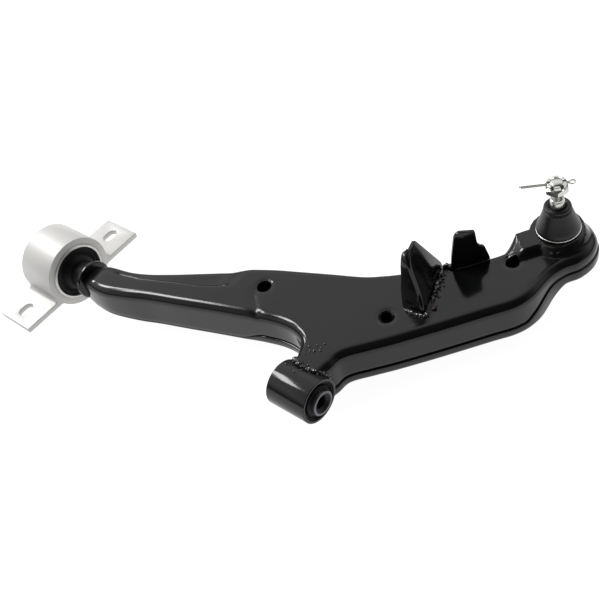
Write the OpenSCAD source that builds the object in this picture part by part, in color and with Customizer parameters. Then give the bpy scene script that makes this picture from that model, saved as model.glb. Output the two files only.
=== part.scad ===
// Stamped-steel lower suspension control arm, left-hand side, in millimetres.
// Origin: centre of the front bush bore. +Y: rearwards along the pivot axis.
// +X: outboard, towards the wheel. +Z: up, square to the arm's top plate.

/* [Front bush] */
// Outside diameter of the welded front eye tube
eye_od = 50; // [48:0.5:52]
// Wall of the front eye tube
eye_wall = 3; // [2.5:0.5:3.5]
// Length of the front eye tube along the pivot axis
eye_len = 51; // [50:0.5:54]
// Wall of the pressed-in outer sleeve
front_outer_wall = 1.5; // [1:0.5:2]
// Outside diameter of the front inner sleeve
front_inner_od = 27.6; // [26:0.2:29]
// Bore of the front inner sleeve, clearance for an M14 bolt
front_bore_d = 14.4; // [14.2:0.1:15]
// How far the inner sleeve stands out of each end of the eye
front_proud = 5; // [3:0.5:6]
// Depth of the countersink at each end of the inner sleeve
front_sink = 3.8; // [2:0.2:4]

/* [Rear bush and bracket] */
// Front face of the rear bracket, measured from the front bush centre
bracket_y = 370; // [368:0.5:376]
// Length of the extruded rear bracket along the pivot axis
bracket_len = 57; // [50:1:64]
// Outside diameter of the bracket's barrel
barrel_od = 88; // [86:0.5:92]
// Diameter of the barrel's bore
barrel_bore = 71; // [70:0.5:72]
// Overall width across the two ears
ears_w = 187; // [180:1:194]
// Thickness of each ear
ear_t = 7; // [6:0.5:9]
// Drop from the pivot axis to the ears' upper face
ear_drop = 15; // [12:0.5:18]
// Distance between the two bolt slots
slot_pitch = 146; // [142:1:150]
// Width of each bolt slot
slot_w = 14; // [12:0.5:15]
// End-to-end length of each bolt slot
slot_len = 20; // [18:1:22]
// Radius of the fillets between ears and barrel
ear_fillet = 6; // [4:0.5:8]
// Wall of the rear outer sleeve
rear_outer_wall = 3.5; // [3:0.5:4]
// Outside diameter of the rear inner sleeve
rear_inner_od = 32; // [30:0.5:34]

/* [Rear pivot pin] */
// Diameter of the pin where it carries the bush
journal_d = 20; // [18:0.5:22]
// Diameter of the pin's root inside the leg
root_d = 26; // [24:0.5:26.5]
// Diameter of the pin's collar
collar_d = 47; // [44:0.5:48]
// Thickness of the pin's collar
collar_t = 6; // [5:0.5:7]
// Thread diameter at the rear end of the pin
pin_thread_d = 16; // [14:1:16]
// Width across flats of the rear nut
rear_nut_af = 24; // [22:0.5:27]
// Height of the rear nut
rear_nut_h = 13; // [11:0.5:14]

/* [Arm shells] */
// Sheet thickness of both stampings
sheet_t = 3; // [2.5:0.5:3.5]
// Height of the upper stamping's top face
top_z = 20; // [19:0.5:21]
// Height of the welded seam between the stampings
seam_z = -15; // [-17:0.5:-13]
// Height of the lower stamping's underside
bottom_z = -28.6; // [-30:0.1:-28.4]
// Radius along the top edge of the upper stamping
top_r = 10; // [8:0.5:11]
// Radius along the bottom edge of the lower stamping
bottom_r = 7; // [6:0.5:8]
// How far the lower stamping stands out past the upper one
seam_step = 1.5; // [1:0.25:2]
// Diameter of the drain hole behind the front bush
drain_d = 16; // [12:1:18]
// Diameter of the locating hole beside the front bush
locating_d = 18; // [14:1:20]
// Diameter of the hole inboard of the ball joint
outer_hole_d = 15; // [12:1:16]

/* [Ball joint] */
// Outboard position of the ball stud's axis
ball_x = 292; // [290:0.5:294]
// Fore-and-aft position of the ball stud's axis
ball_y = -127; // [-129:0.5:-125]
// Height of the ball's centre
ball_z = 14; // [13:0.5:15]
// Diameter of the ball
ball_d = 27; // [26:0.5:28]
// Height of the raised pad around the ball joint
pad_z = 30; // [29:0.5:31]
// Outside diameter of the pressed-in ball joint housing
socket_d = 42; // [41:0.5:43]
// Outside diameter of the plastic bearing shell
seat_d = 34; // [33:0.5:35]
// Stud diameter at the wide end of the taper
taper_big_d = 18; // [17:0.5:18.5]
// Stud diameter at the narrow end of the taper
taper_small_d = 14.8; // [14.6:0.1:15]
// Thread diameter of the stud
stud_thread_d = 13.8; // [13:0.1:14]
// Outside diameter of the boot's foot
boot_d = 46; // [45:0.5:48]
// Height of the boot's lip
boot_top_z = 64.5; // [62:0.5:66]

/* [Castle nut and split pin] */
// Width across flats of the castle nut
nut_af = 22; // [21:0.5:23]
// Height of the nut's underside
nut_z = 84.5; // [82:0.5:86]
// Height of the nut's hexagon
nut_hex_h = 6.3; // [6:0.1:8]
// Height of the nut's crown
nut_crown_h = 4.5; // [4:0.1:5.5]
// Width of the nut's six slots
nut_slot_w = 3.8; // [3.6:0.1:4.5]
// Direction of the split pin, anticlockwise from +X
pin_dir = 125; // [115:1:135]
// Wire diameter of the split pin
pin_d = 3.2; // [3:0.1:3.4]

/* [Link bracket] */
// Plate thickness of the link bracket
link_t = 4; // [3:0.5:5]
// Direction of the fin plate, anticlockwise from +X
fin_dir = 19; // [16:1:22]
// Backward lean of the fin plate
fin_lean = 14; // [12:1:16]
// Direction of the tab plate, anticlockwise from +X
tab_dir = -39.5; // [-42:0.5:-37]

/* [Hidden] */
$fn = 64;
PAINT = "#1b1c1f";
RUBBER = "#141414";
STEEL = "#a9abae";
SILVER = "#c9cbcc";
EPS = 0.05;                       // running gap between bodies that turn on each other
OVER = 1;                         // how far a cutter runs past what it cuts
SUB = 2;                          // spline steps between two outline points
ROUND_STEPS = 4;                  // facets across a rolled edge
leg_end_y = 338;                  // where the leg stops against the pin's collar
leg_taper_y = 250;                // the leg's depth shrinks behind this station
leg_end_y0 = 337;                 // last station of the outline
leg_top_fall = 1.5;               // fall of the top face over the taper
leg_bottom_rise = 8;              // rise of the underside over the taper
tip_seam_rise = 19;               // rise of the seam towards the ball joint
tip_seam_from = 95;               // distance from the stud's axis where it starts
tip_bottom_rise = 17;             // rise of the underside towards the ball joint
tip_bottom_from = 80;             // distance from the stud's axis where it starts
tip_near = 44;                    // both are at their full height inside this distance

// Outline of the arm's side walls, seen from above, from the rear end of the leg
// outboard to the ball joint: first the inner and front side, then the outer and
// rear side. The n-th point of one side faces the n-th point of the other.
front_side = [[-17, 337], [-19, 318], [-18, 296], [-10, 268], [2, 235], [14, 196], [26, 158],
    [36, 125], [44, 98], [50, 72], [50, 50], [42, 32], [28, 24], [9, 17], [9, -12], [30, -19],
    [48, -22], [68, -39], [88, -57], [124, -87], [164, -119], [188, -138], [210, -146],
    [240, -148], [258, -154], [272, -163], [290, -167], [308, -163], [321, -151], [328, -136]];
rear_side = [[17, 337], [21, 318], [27, 296], [37, 268], [52, 238], [69, 208], [86, 178],
    [98, 156], [112, 127], [124, 97], [137, 64], [151, 28], [163, 8], [170, -2], [177, -11],
    [184, -19], [191, -28], [199, -37], [208, -47], [217, -58], [227, -69], [238, -80],
    [250, -88], [262, -91], [274, -91], [286, -91], [298, -93], [310, -99], [320, -107],
    [327, -118]];
stations = len(front_side);
corners = concat(front_side, [for (i = [stations - 1:-1:0]) rear_side[i]]);
corner_count = len(corners);

// Catmull-Rom curve through b and c, at t from 0 to 1
function spline(a, b, c, d, t) = 0.5 * (2 * b + (c - a) * t + (2 * a - 5 * b + 4 * c - d) * t * t
    + (3 * b - a - 3 * c + d) * t * t * t);
function corner(i) = corners[(i + corner_count) % corner_count];
outline = [for (i = [0:corner_count - 1], k = [0:SUB - 1])
    spline(corner(i - 1), corner(i), corner(i + 1), corner(i + 2), k / SUB)];
ring_n = len(outline);
function side_normal(i) = let (
    d = outline[(i + 1) % ring_n] - outline[(i + ring_n - 1) % ring_n]) [d[1], -d[0]] / norm(d);
normals = [for (i = [0:ring_n - 1]) side_normal(i)];

// Share of the leg's taper at a point, 0 ahead of it and 1 at the pin
function taper(p) = min(1, max(0, (p[1] - leg_taper_y) / (leg_end_y0 - leg_taper_y)));
function roof(p) = top_z - leg_top_fall * taper(p);

// Share of the tip's rise at a point, 0 at the distance from and 1 at the tip
function tip_share(p, from) = min(1, max(0,
    (from - norm(p - [ball_x, ball_y])) / (from - tip_near)));
function seam(p) = seam_z + tip_seam_rise * sin(90 * tip_share(p, tip_seam_from));
function sump(p) = bottom_z + leg_bottom_rise * taper(p)
    + tip_bottom_rise * pow(tip_share(p, tip_bottom_from), 2);

// One ring of the outline, moved inwards by inset, at height z(p) measured from level
function ring_at(inset, heights) = [for (i = [0:ring_n - 1])
    let (p = outline[i] - inset * normals[i]) [p[0], p[1], heights[i]]];
function roof_ring(inset, drop) = ring_at(inset, [for (p = outline) roof(p) - drop]);
function sump_ring(inset, rise) = ring_at(inset, [for (p = outline) sump(p) + rise]);
function seam_ring(inset) = ring_at(inset, [for (p = outline) seam(p)]);

// Closed solid between rings: the first and last rings are joined through, so
// the rings run up the outside, across the cap and back down the inside.
module ring_solid(rings, cap, flip = false) {
    n = ring_n;
    half = n / 2;
    count = len(rings);
    walls = [for (r = [0:count - 1]) if (r != cap) for (i = [0:n - 1])
        let (a = r * n + i, b = r * n + (i + 1) % n,
            s = (r + 1) % count, c = s * n + (i + 1) % n, d = s * n + i)
        each [[a, c, b], [a, d, c]]];
    outer_cap = [for (i = [0:half - 2])
        let (a = cap * n + i, b = a + 1, c = cap * n + n - 2 - i, d = c + 1)
        each [[a, c, b], [a, d, c]]];
    inner_cap = [for (i = [0:half - 2])
        let (a = (cap + 1) * n + i, b = a + 1, c = (cap + 1) * n + n - 2 - i, d = c + 1)
        each [[a, b, c], [a, c, d]]];
    faces = concat(walls, outer_cap, inner_cap);
    polyhedron(points = [for (r = rings) each r],
        faces = flip ? [for (f = faces) [f[2], f[1], f[0]]] : faces);
}

// Upper stamping: a deep tray turned upside down, with a rolled top edge
module upper_tray() {
    outside = [for (k = [0:ROUND_STEPS]) let (t = 90 * k / ROUND_STEPS)
        roof_ring(top_r * (1 - cos(t)), top_r * (1 - sin(t)))];
    inner_r = top_r - sheet_t;
    inside = [for (k = [ROUND_STEPS:-1:0]) let (t = 90 * k / ROUND_STEPS)
        roof_ring(sheet_t + inner_r * (1 - cos(t)), sheet_t + inner_r * (1 - sin(t)))];
    ring_solid(concat([seam_ring(0)], outside, inside, [seam_ring(sheet_t)]),
        ROUND_STEPS + 1);
}

// Lower stamping: a shallow tray, open upwards
module lower_tray() {
    outside = [for (k = [0:ROUND_STEPS]) let (t = 90 * k / ROUND_STEPS)
        sump_ring(bottom_r * (1 - cos(t)) - seam_step, bottom_r * (1 - sin(t)))];
    inner_r = bottom_r - sheet_t;
    inside = [for (k = [ROUND_STEPS:-1:0]) let (t = 90 * k / ROUND_STEPS)
        sump_ring(sheet_t - seam_step + inner_r * (1 - cos(t)),
            sheet_t + inner_r * (1 - sin(t)))];
    ring_solid(concat([seam_ring(-seam_step)], outside, inside,
        [seam_ring(sheet_t - seam_step)]), ROUND_STEPS + 1, true);
}

// Cylinder along the pivot axis, from y0 to y1
module along_y(r, y0, y1) {
    translate([0, y1, 0]) rotate([90, 0, 0]) cylinder(r = r, h = y1 - y0);
}

// Tube along the pivot axis
module tube_y(ro, ri, y0, y1) {
    difference() {
        along_y(ro, y0, y1);
        along_y(ri, y0 - OVER, y1 + OVER);
    }
}

module at_ball() {
    translate([ball_x, ball_y, 0]) children();
}

// Upright cutter through the top plate only
module plate_hole(x, y, d) {
    translate([x, y, 0]) cylinder(d = d, h = top_z + OVER);
}

// Space taken by the front eye
module eye_space() {
    along_y(eye_od / 2, -eye_len / 2 - OVER, eye_len / 2 + OVER);
}

// Space taken by the pivot pin's root
module pin_space() {
    along_y(root_d / 2, 325, leg_end_y + OVER);
}

pad_r = 30;                       // flat top of the pad
pad_foot_r = 31.5;                // foot of the pad on the top plate
pad_sink = 7;                     // how far the pad's foot reaches below the top face
ramp_in = 24;                     // start of the ramp, from the stud's axis
ramp_out = 52;                    // end of the ramp on the top plate
ramp_w = 44;                      // width of the ramp
ramp_dir = 149;                   // direction of the ramp, anticlockwise from +X
module raised_pad() {
    at_ball() rotate_extrude() polygon([[socket_d / 2, pad_z - sheet_t], [pad_r - 2, pad_z - sheet_t],
        [pad_foot_r - sheet_t, top_z - pad_sink], [pad_foot_r, top_z - pad_sink],
        [pad_r + 0.5, pad_z - 1], [pad_r - 0.5, pad_z], [socket_d / 2, pad_z]]);
    at_ball() rotate(ramp_dir) difference() {
        rotate([90, 0, 0]) linear_extrude(ramp_w, center = true)
            polygon([[ramp_in, top_z - 1], [ramp_out, top_z - 1], [ramp_out - 2, top_z],
                [pad_r, pad_z], [ramp_in, pad_z]]);
        cylinder(r = pad_r - 1.5, h = pad_z + OVER);
    }
}

module upper_shell() {
    color(PAINT) {
        difference() {
            upper_tray();
            eye_space();
            pin_space();
            plate_hole(82, 118, drain_d);
            plate_hole(112, -31, locating_d);
            plate_hole(237, -104, outer_hole_d);
            plate_hole(ball_x, ball_y, 2 * pad_foot_r - 2 * sheet_t);
        }
        raised_pad();
    }
}

socket_port_r = 27;               // opening under the ball joint in the lower stamping
port_top = -6;                    // the opening's cutter ends above the floor there
module lower_shell() {
    color(PAINT) difference() {
        lower_tray();
        eye_space();
        at_ball() translate([0, 0, bottom_z - OVER])
            cylinder(r = socket_port_r, h = port_top - bottom_z + OVER);
    }
}

module front_eye() {
    color(PAINT) tube_y(eye_od / 2, eye_od / 2 - eye_wall, -eye_len / 2, eye_len / 2);
}

front_cup_r = eye_od / 2 - eye_wall;
front_cup_half = eye_len / 2 - 1.5;
module front_outer_sleeve() {
    color(STEEL) tube_y(front_cup_r, front_cup_r - front_outer_wall, -front_cup_half,
        front_cup_half);
}

// Turns a profile given as [radius, y] about the pivot axis
module turned_y() {
    rotate([-90, 0, 0]) rotate_extrude() children();
}

front_rubber_r = front_cup_r - front_outer_wall;
front_inner_r = front_inner_od / 2;
module front_rubber() {
    half = front_cup_half;
    ri = front_inner_r + EPS;
    color(RUBBER) turned_y() polygon([[ri, -half - 2], [ri + 3, -half - 1.5],
        [front_rubber_r - 2, -half + 3], [front_rubber_r, -half + 3], [front_rubber_r, half - 3],
        [front_rubber_r - 2, half - 3], [ri + 3, half + 1.5], [ri, half + 2]]);
}

front_sleeve_half = eye_len / 2 + front_proud;
front_bore_half = front_sleeve_half - front_sink;
module front_inner_sleeve() {
    color(STEEL) turned_y() polygon([[front_bore_d / 2, -front_bore_half],
        [front_bore_d / 2 + front_sink, -front_sleeve_half], [front_inner_r, -front_sleeve_half],
        [front_inner_r, front_sleeve_half], [front_bore_d / 2 + front_sink, front_sleeve_half],
        [front_bore_d / 2, front_bore_half]]);
}

collar_y = leg_end_y + collar_t;
journal_end_y = 436;              // where the journal steps down to the thread
washer_t = 4;
pin_tip_y = journal_end_y + washer_t + rear_nut_h + 3;
module rear_pivot_pin() {
    color(PAINT) {
        along_y(root_d / 2, 285, leg_end_y);
        along_y(collar_d / 2, leg_end_y, collar_y);
        along_y(journal_d / 2, collar_y, journal_end_y);
        along_y(pin_thread_d / 2, journal_end_y, pin_tip_y);
    }
}

module rear_inner_sleeve() {
    color(STEEL) tube_y(rear_inner_od / 2, journal_d / 2, collar_y, journal_end_y);
}

module rear_washer() {
    color(STEEL) tube_y(20, pin_thread_d / 2, journal_end_y, journal_end_y + washer_t);
}

module rear_nut() {
    y0 = journal_end_y + washer_t;
    color(STEEL) difference() {
        translate([0, y0 + rear_nut_h, 0]) rotate([90, 0, 0])
            cylinder(d = rear_nut_af / cos(30), h = rear_nut_h, $fn = 6);
        along_y(pin_thread_d / 2, y0 - OVER, y0 + rear_nut_h + OVER);
    }
}

barrel_r = barrel_od / 2;
ear_top = -ear_drop;
// Fillet in the corner between the barrel and one face of an ear; up is +1 for the
// upper face and -1 for the lower one
module ear_fillet_2d(face_z, up) {
    cz = face_z + up * ear_fillet;
    cx = sqrt(pow(barrel_r + ear_fillet, 2) - cz * cz);
    k = barrel_r / (barrel_r + ear_fillet);
    difference() {
        polygon([[cx, face_z - up], [cx, cz], [cx * k * 0.94, cz * k * 0.94],
            [cx * k - 8, face_z - up]]);
        translate([cx, cz]) circle(r = ear_fillet);
    }
}

module ear_fillets() {
    ear_fillet_2d(ear_top, 1);
    ear_fillet_2d(ear_top - ear_t, -1);
}

// One of the bracket's flat sections, drawn in the plane across the pivot axis, drawn
// out along it
module along_bracket() {
    translate([0, bracket_y + bracket_len, 0]) rotate([90, 0, 0])
        linear_extrude(bracket_len) children();
}

slot_y = 400;                     // fore-and-aft position of the bolt slots
module bolt_slot() {
    reach = (slot_len - slot_w) / 2;
    translate([0, 0, ear_top - ear_t - OVER]) {
        for (s = [-1, 1]) translate([s * reach, 0, 0]) cylinder(d = slot_w, h = ear_t + 2 * OVER);
        translate([-reach, -slot_w / 2, 0]) cube([2 * reach, slot_w, ear_t + 2 * OVER]);
    }
}

module rear_bracket() {
    color(SILVER) difference() {
        union() {
            along_y(barrel_r, bracket_y, bracket_y + bracket_len);
            translate([-ears_w / 2, bracket_y, ear_top - ear_t]) cube([ears_w, bracket_len, ear_t]);
            along_bracket() ear_fillets();
            mirror([1, 0, 0]) along_bracket() ear_fillets();
        }
        along_y(barrel_bore / 2, bracket_y - OVER, bracket_y + bracket_len + OVER);
        for (s = [-1, 1]) translate([s * slot_pitch / 2, slot_y, 0]) bolt_slot();
    }
}

rear_cup_r = barrel_bore / 2;
rear_cup_y0 = bracket_y - 1.5;
rear_cup_y1 = bracket_y + bracket_len + 1.5;
module rear_outer_sleeve() {
    color(SILVER) tube_y(rear_cup_r, rear_cup_r - rear_outer_wall, rear_cup_y0, rear_cup_y1);
}

module rear_rubber() {
    ri = rear_inner_od / 2 + EPS;
    ro = rear_cup_r - rear_outer_wall;
    y0 = rear_cup_y0;
    y1 = rear_cup_y1;
    color(RUBBER) turned_y() polygon([[ri, y0 - 8], [ri + 4, y0 - 7], [ri + 9, y0 + 3],
        [ro - 2, y0 + 5], [ro, y0 + 4], [ro, y1 - 4], [ro - 2, y1 - 5], [ri + 9, y1 - 3],
        [ri + 4, y1 + 4], [ri, y1 + 5]]);
}

// Plate standing on the arm: its profile is [along, up], leaning back by lean degrees
module standing_plate(at, dir, lean) {
    translate(at) rotate([0, 0, dir]) rotate([90 - lean, 0, 0])
        translate([0, 0, -link_t]) linear_extrude(link_t) children();
}

fin_at = [133, -65, top_z];
module fin_plate() {
    difference() {
        standing_plate(fin_at, fin_dir, fin_lean) polygon([[0, -3], [3, 8], [9, 20], [12, 36],
            [15, 52], [20, 60], [30, 64], [46, 62], [71, 5], [71, -3]]);
        translate([60, -160, top_z - 20]) cube([200, 200, 20]);
    }
}

// Flange bent back from the fin's inboard edge, narrower towards its top
flange_foot_w = 28;
flange_top_w = 9;
module fin_flange() {
    difference() {
        translate(fin_at) rotate([0, 0, fin_dir]) rotate([90 - fin_lean, 0, 0])
            translate([0, 0, -link_t - flange_foot_w]) linear_extrude(flange_foot_w)
                polygon([[0, -12], [0, -3], [3, 8], [9, 20], [12, 36], [15, 52], [20, 60], [30, 64],
                    [31, 60], [23, 57], [19, 50], [16, 35], [13, 19], [7, 7], [4, -3], [4, -12]]);
        translate(fin_at) rotate([0, 0, fin_dir]) rotate([90 - fin_lean, 0, 0])
            translate([-10, 0, -link_t - flange_foot_w]) rotate([atan2(flange_foot_w - flange_top_w,
                62), 0, 0]) translate([0, -20, -40]) cube([60, 120, 40]);
        translate([60, -160, top_z - 40]) cube([200, 200, 40]);
    }
}

module link_fin() {
    color(PAINT) {
        fin_plate();
        fin_flange();
    }
}

module link_tab() {
    color(PAINT) standing_plate([202, -58, top_z], tab_dir, 0)
        polygon([[-5, 0], [-4, 14], [2, 44], [5, 48], [8, 50], [25, 45], [26, 26], [29, 22],
            [33, 20], [37, 4], [37, 0]]);
}

socket_bottom = -10;
socket_top = 32;
mouth_low_r = 11.9;
mouth_top_r = 18;
mouth_rise = 7;                   // from the ball's centre to the bearing shell's rim
cover_t = 3;
module ball_socket() {
    color(PAINT) at_ball() rotate_extrude() polygon([[seat_d / 2 - 1, socket_bottom],
        [socket_d / 2, socket_bottom], [socket_d / 2, socket_top], [mouth_top_r, socket_top],
        [mouth_low_r, ball_z + mouth_rise], [seat_d / 2, ball_z + mouth_rise],
        [seat_d / 2, socket_bottom + 1.5 + cover_t], [seat_d / 2 + 1, socket_bottom + 1.5 + cover_t],
        [seat_d / 2 + 1, socket_bottom + 1.5], [seat_d / 2 - 1, socket_bottom + 1.5]]);
}

ball_r = ball_d / 2;
seat_bottom = socket_bottom + 1.5 + cover_t;
module ball_bearing_shell() {
    color("#d8d4c4") at_ball() difference() {
        translate([0, 0, seat_bottom]) cylinder(d = seat_d, h = ball_z + mouth_rise - seat_bottom);
        translate([0, 0, ball_z]) sphere(r = ball_r + EPS);
        translate([0, 0, ball_z]) cylinder(r = mouth_low_r, h = 20);
        translate([0, 0, seat_bottom - OVER]) cylinder(r = 6, h = 12);
    }
}

module ball_cover() {
    color(STEEL) at_ball() translate([0, 0, seat_bottom - cover_t])
        cylinder(r = seat_d / 2 + 1, h = cover_t);
}

stud_neck_r = 6.8;
taper_z0 = 46;
taper_z1 = 71;
stud_top_z = 96;
stud_flat = 2.5;                  // flat ground on the ball's underside
cross_hole_z = nut_z + nut_hex_h + 2.2;
module ball_stud() {
    color(STEEL) at_ball() difference() {
        union() {
            difference() {
                translate([0, 0, ball_z]) sphere(r = ball_r);
                translate([0, 0, ball_z - ball_r - OVER]) cylinder(r = ball_r, h = stud_flat + OVER);
            }
            rotate_extrude() polygon([[0, ball_z + 8], [stud_neck_r, ball_z + 8],
                [stud_neck_r, taper_z0 - 6], [taper_big_d / 2, taper_z0],
                [taper_small_d / 2, taper_z1], [stud_thread_d / 2, taper_z1 + 1],
                [stud_thread_d / 2, stud_top_z - 1.5], [stud_thread_d / 2 - 1.5, stud_top_z],
                [0, stud_top_z]]);
        }
        translate([0, 0, cross_hole_z]) rotate([0, 90, pin_dir])
            cylinder(d = pin_d + 0.4, h = 40, center = true);
    }
}

boot_r = boot_d / 2;
boot_wall = 2;
lip_r = taper_small_d / 2 + 0.8;
module dust_boot() {
    foot_z = pad_z + 0.2;
    color(RUBBER) at_ball() rotate_extrude() polygon([[socket_d / 2 + 0.1, foot_z],
        [boot_r - 0.4, foot_z], [boot_r - 0.4, foot_z + 0.9], [boot_r - 1.2, foot_z + 0.9],
        [boot_r - 1.2, foot_z + 3.5], [boot_r, foot_z + 4], [boot_r - 0.5, 38], [boot_r - 3, 43],
        [17.5, 50], [15.2, 57], [14.6, 59.3], [13.2, 59.3], [13.2, 61.2], [14.2, 61.2],
        [13.8, 63.5], [12.8, boot_top_z], [lip_r, boot_top_z], [lip_r, 61], [11.5, 59],
        [15.4 - boot_wall, 55], [17.5 - boot_wall, 49], [boot_r - 3 - boot_wall, 42],
        [boot_r - boot_wall, 36], [socket_d / 2 + 0.1, 33]]);
}

// Flat-section ring about the stud's axis
module band(ro, ri, z0, z1) {
    at_ball() rotate_extrude() polygon([[ri, z0], [ro, z0], [ro, z1], [ri, z1]]);
}

module boot_lower_ring() {
    color(STEEL) band(boot_r + 0.6, boot_r - 1.1, pad_z + 1.2, pad_z + 3.6);
}

module boot_upper_ring() {
    color(RUBBER) band(14.7, 13.3, 59.5, 61);
}

module castle_nut() {
    crown_r = nut_af / 2 - 1;
    crown_z = nut_z + nut_hex_h;
    color(STEEL) at_ball() difference() {
        union() {
            translate([0, 0, nut_z]) rotate(pin_dir + 30)
                cylinder(d = nut_af / cos(30), h = nut_hex_h, $fn = 6);
            translate([0, 0, crown_z - 1]) cylinder(r = crown_r, h = nut_crown_h + 1);
        }
        translate([0, 0, nut_z - OVER])
            cylinder(d = stud_thread_d, h = nut_hex_h + nut_crown_h + 2 * OVER);
        for (k = [0:2]) translate([0, 0, crown_z + 0.3]) rotate(pin_dir + 60 * k)
            translate([-20, -nut_slot_w / 2, 0]) cube([40, nut_slot_w, nut_crown_h]);
    }
}

// Split pin: two legs lying together through the stud, with a round eye
pin_back = 12.8;                   // from the stud's axis to the eye's near side
pin_reach = 37;                   // from the stud's axis to the tips of the legs
eye_mean_r = 2.6;
module split_pin() {
    wire_r = pin_d / 2;
    color(STEEL) at_ball() translate([0, 0, cross_hole_z]) rotate(pin_dir) {
        translate([-pin_back, 0, 0]) rotate([0, 90, 0]) cylinder(r = wire_r, h = pin_back + pin_reach);
        translate([-pin_back - eye_mean_r, 0, 0]) rotate([90, 0, 0]) rotate_extrude()
            translate([eye_mean_r, 0]) circle(r = wire_r - 0.3);
    }
}

upper_shell();
lower_shell();
front_eye();
front_outer_sleeve();
front_rubber();
front_inner_sleeve();
rear_pivot_pin();
rear_inner_sleeve();
rear_washer();
rear_nut();
rear_bracket();
rear_outer_sleeve();
rear_rubber();
link_fin();
link_tab();
ball_socket();
ball_bearing_shell();
ball_cover();
ball_stud();
dust_boot();
boot_lower_ring();
boot_upper_ring();
castle_nut();
split_pin();
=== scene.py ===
"""Suspension control arm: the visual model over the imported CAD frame."""

import math

import bmesh
import bpy
import numpy as np
from mathutils import Matrix, Vector, noise
from mathutils.geometry import delaunay_2d_cdt


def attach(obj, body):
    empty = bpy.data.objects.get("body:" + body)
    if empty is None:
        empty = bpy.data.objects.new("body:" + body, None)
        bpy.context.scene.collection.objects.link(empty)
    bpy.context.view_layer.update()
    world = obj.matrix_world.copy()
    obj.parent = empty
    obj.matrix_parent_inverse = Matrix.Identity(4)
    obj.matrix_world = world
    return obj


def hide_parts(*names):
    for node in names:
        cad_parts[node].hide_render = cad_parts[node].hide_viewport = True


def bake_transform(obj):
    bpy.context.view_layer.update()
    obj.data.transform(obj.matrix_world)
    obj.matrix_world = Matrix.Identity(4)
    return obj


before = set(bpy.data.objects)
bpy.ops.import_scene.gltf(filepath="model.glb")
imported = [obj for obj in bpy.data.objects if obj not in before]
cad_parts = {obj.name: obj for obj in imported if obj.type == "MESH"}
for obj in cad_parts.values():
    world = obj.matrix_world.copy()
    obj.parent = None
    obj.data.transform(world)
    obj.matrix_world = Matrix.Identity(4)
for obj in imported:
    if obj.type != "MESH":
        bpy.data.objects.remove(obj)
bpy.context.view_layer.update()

MM = 0.001
BALL = np.array([292.0, -127.0])   # ball stud's axis, seen from above


# ---------------------------------------------------------------- small helpers
def smooth(t):
    t = np.clip(t, 0.0, 1.0)
    return t * t * (3 - 2 * t)


def new_object(name, verts, faces, material, sharp=None):
    """A mesh object from millimetre points; sharp is the angle above which edges stay crisp."""
    mesh = bpy.data.meshes.new(name)
    points = [tuple(float(c) * MM for c in v) for v in verts]
    mesh.from_pydata(points, [], [tuple(int(i) for i in f) for f in faces])
    mesh.validate()
    mesh.update()
    mesh.polygons.foreach_set("use_smooth", [True] * len(mesh.polygons))
    if sharp is not None:
        mesh.set_sharp_from_angle(angle=math.radians(sharp))
    obj = bpy.data.objects.new(name, mesh)
    bpy.context.collection.objects.link(obj)
    mesh.materials.append(material)
    return obj


def mend(obj, merge=None, flatten=None):
    """Merges close points, turns the faces outwards and joins faces that lie flat."""
    bm = bmesh.new()
    bm.from_mesh(obj.data)
    if merge is not None:
        bmesh.ops.remove_doubles(bm, verts=bm.verts, dist=merge)
    bmesh.ops.recalc_face_normals(bm, faces=bm.faces)
    if flatten is not None:
        bmesh.ops.dissolve_limit(bm, angle_limit=flatten, verts=bm.verts, edges=bm.edges)
    bm.to_mesh(obj.data)
    bm.free()


def apply_modifiers(obj, sharp=30):
    """Makes the modified shape the object's own mesh."""
    depsgraph = bpy.context.evaluated_depsgraph_get()
    mesh = bpy.data.meshes.new_from_object(obj.evaluated_get(depsgraph))
    obj.modifiers.clear()
    obj.data = mesh
    mesh.polygons.foreach_set("use_smooth", [True] * len(mesh.polygons))
    mesh.set_sharp_from_angle(angle=math.radians(sharp))
    return obj


def cut(obj, cutter, operation="DIFFERENCE"):
    modifier = obj.modifiers.new("cut", "BOOLEAN")
    modifier.operation = operation
    modifier.solver = "EXACT"
    modifier.object = cutter
    apply_modifiers(obj)
    bpy.data.objects.remove(cutter)
    return obj


def soften_edges(obj, width, segments=3, angle=40, sharp=30):
    modifier = obj.modifiers.new("soft", "BEVEL")
    modifier.width = width * MM
    modifier.segments = segments
    modifier.limit_method = "ANGLE"
    modifier.angle_limit = math.radians(angle)
    return apply_modifiers(obj, sharp)


def rounded(points, radius, steps=5, closed=True):
    """Polyline with its corners rounded. radius is one number or one per corner."""
    pts = [np.array(p, float) for p in points]
    n = len(pts)
    radii = [radius] * n if np.isscalar(radius) else list(radius)
    out = []
    for i, p in enumerate(pts):
        if not closed and i in (0, n - 1):
            out.append(p)
            continue
        a, b = pts[(i - 1) % n] - p, pts[(i + 1) % n] - p
        la, lb = np.linalg.norm(a), np.linalg.norm(b)
        r = min(radii[i], 0.45 * la, 0.45 * lb)
        if r < 0.02:
            out.append(p)
            continue
        s, e = p + a / la * r, p + b / lb * r
        for k in range(steps + 1):
            t = k / steps
            out.append((1 - t) ** 2 * s + 2 * t * (1 - t) * p + t * t * e)
    return out


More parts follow.
